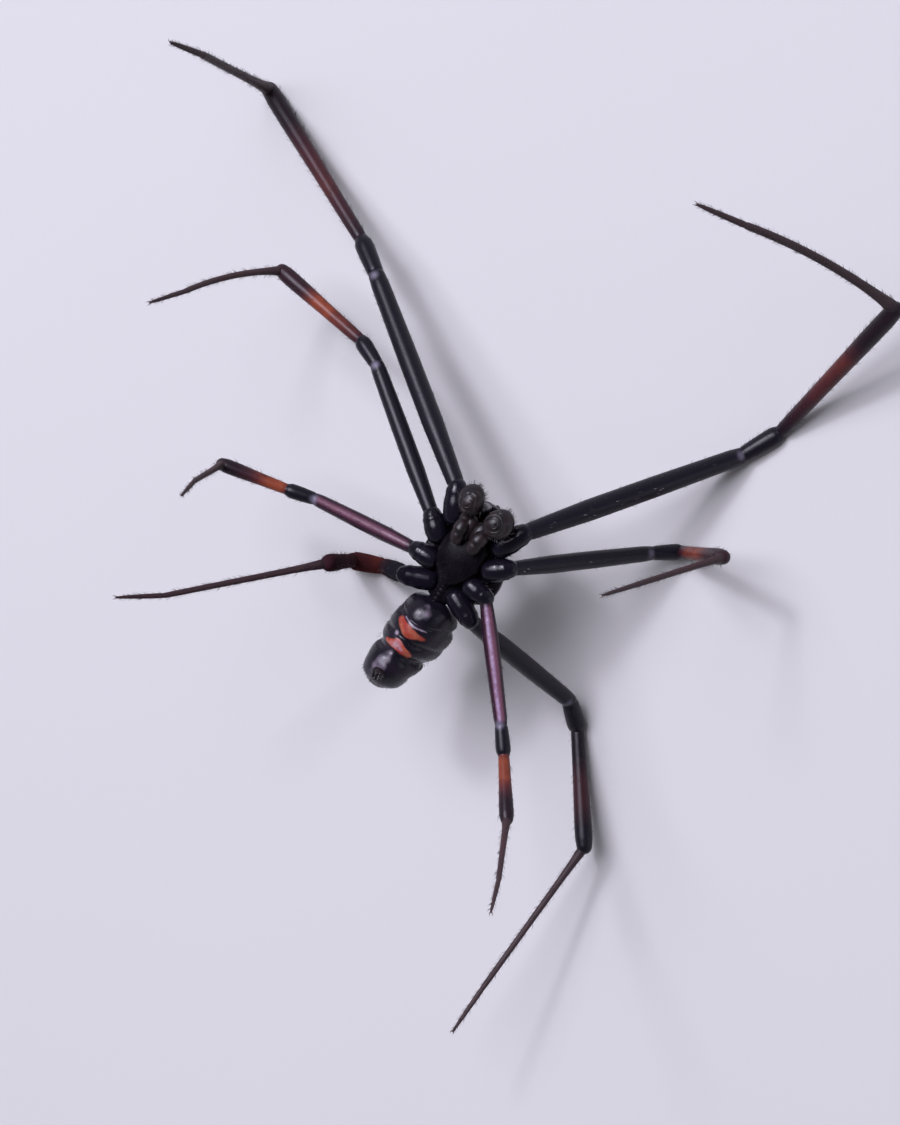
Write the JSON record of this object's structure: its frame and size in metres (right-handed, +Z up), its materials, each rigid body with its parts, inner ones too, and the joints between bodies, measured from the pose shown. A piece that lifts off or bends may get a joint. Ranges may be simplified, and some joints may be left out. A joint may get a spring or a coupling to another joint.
{
  "type": "male black widow spider",
  "caption": "Life-size museum model of a male black widow spider, belly up on its bent knees, with long spread legs and a broken red mark under its slim abdomen.",
  "frame": {"origin": "middle of the base of the whole model, on the floor that its knees rest on", "axes": "+Z up from the floor, the side of the spider's belly, because it lies on its back; -Y towards the head; +X towards the spider's right"},
  "size_m": [0.0158, 0.0186, 0.0068],
  "materials": {
    "black_cuticle": "glossy blue-black shell with fine wrinkles, and a broken red mark under the abdomen",
    "brown_cuticle": "satin brown-black shell set with fine dark bristles",
    "red_brown_cuticle": "glossy dark red to amber shell, darker at both ends",
    "violet_brown_cuticle": "glossy, slightly clear violet-brown shell"
  },
  "bodies": {
    "root": {"abdomen": "black_cuticle", "carapace": "black_cuticle", "chelicera_left": "black_cuticle", "chelicera_right": "black_cuticle", "leg_left_1_coxa": "black_cuticle", "leg_left_1_femur": "black_cuticle", "leg_left_1_metatarsus": "brown_cuticle", "leg_left_1_patella": "black_cuticle", "leg_left_1_tarsus": "brown_cuticle", "leg_left_1_tibia": "red_brown_cuticle", "leg_left_2_coxa": "black_cuticle", "leg_left_2_femur": "black_cuticle", "leg_left_2_metatarsus": "brown_cuticle", "leg_left_2_patella": "black_cuticle", "leg_left_2_tarsus": "brown_cuticle", "leg_left_2_tibia": "red_brown_cuticle", "leg_left_3_coxa": "black_cuticle", "leg_left_3_femur": "violet_brown_cuticle", "leg_left_3_metatarsus": "brown_cuticle", "leg_left_3_patella": "black_cuticle", "leg_left_3_tarsus": "brown_cuticle", "leg_left_3_tibia": "red_brown_cuticle", "leg_left_4_coxa": "black_cuticle", "leg_left_4_femur": "black_cuticle", "leg_left_4_metatarsus": "brown_cuticle", "leg_left_4_patella": "black_cuticle", "leg_left_4_tarsus": "brown_cuticle", "leg_left_4_tibia": "red_brown_cuticle", "leg_right_1_coxa": "black_cuticle", "leg_right_1_femur": "black_cuticle", "leg_right_1_metatarsus": "brown_cuticle", "leg_right_1_patella": "black_cuticle", "leg_right_1_tarsus": "brown_cuticle", "leg_right_1_tibia": "red_brown_cuticle", "leg_right_2_coxa": "black_cuticle", "leg_right_2_femur": "black_cuticle", "leg_right_2_metatarsus": "brown_cuticle", "leg_right_2_patella": "black_cuticle", "leg_right_2_tarsus": "brown_cuticle", "leg_right_2_tibia": "red_brown_cuticle", "leg_right_3_coxa": "black_cuticle", "leg_right_3_femur": "violet_brown_cuticle", "leg_right_3_metatarsus": "brown_cuticle", "leg_right_3_patella": "black_cuticle", "leg_right_3_tarsus": "brown_cuticle", "leg_right_3_tibia": "red_brown_cuticle", "leg_right_4_coxa": "black_cuticle", "leg_right_4_femur": "black_cuticle", "leg_right_4_metatarsus": "brown_cuticle", "leg_right_4_patella": "black_cuticle", "leg_right_4_tarsus": "brown_cuticle", "leg_right_4_tibia": "red_brown_cuticle", "palp_bulb_left": "brown_cuticle", "palp_bulb_right": "brown_cuticle", "palp_left": "brown_cuticle", "palp_right": "brown_cuticle", "pedicel": "brown_cuticle", "spinnerets": "brown_cuticle", "sternum": "black_cuticle"}
  },
  "joints": []
}
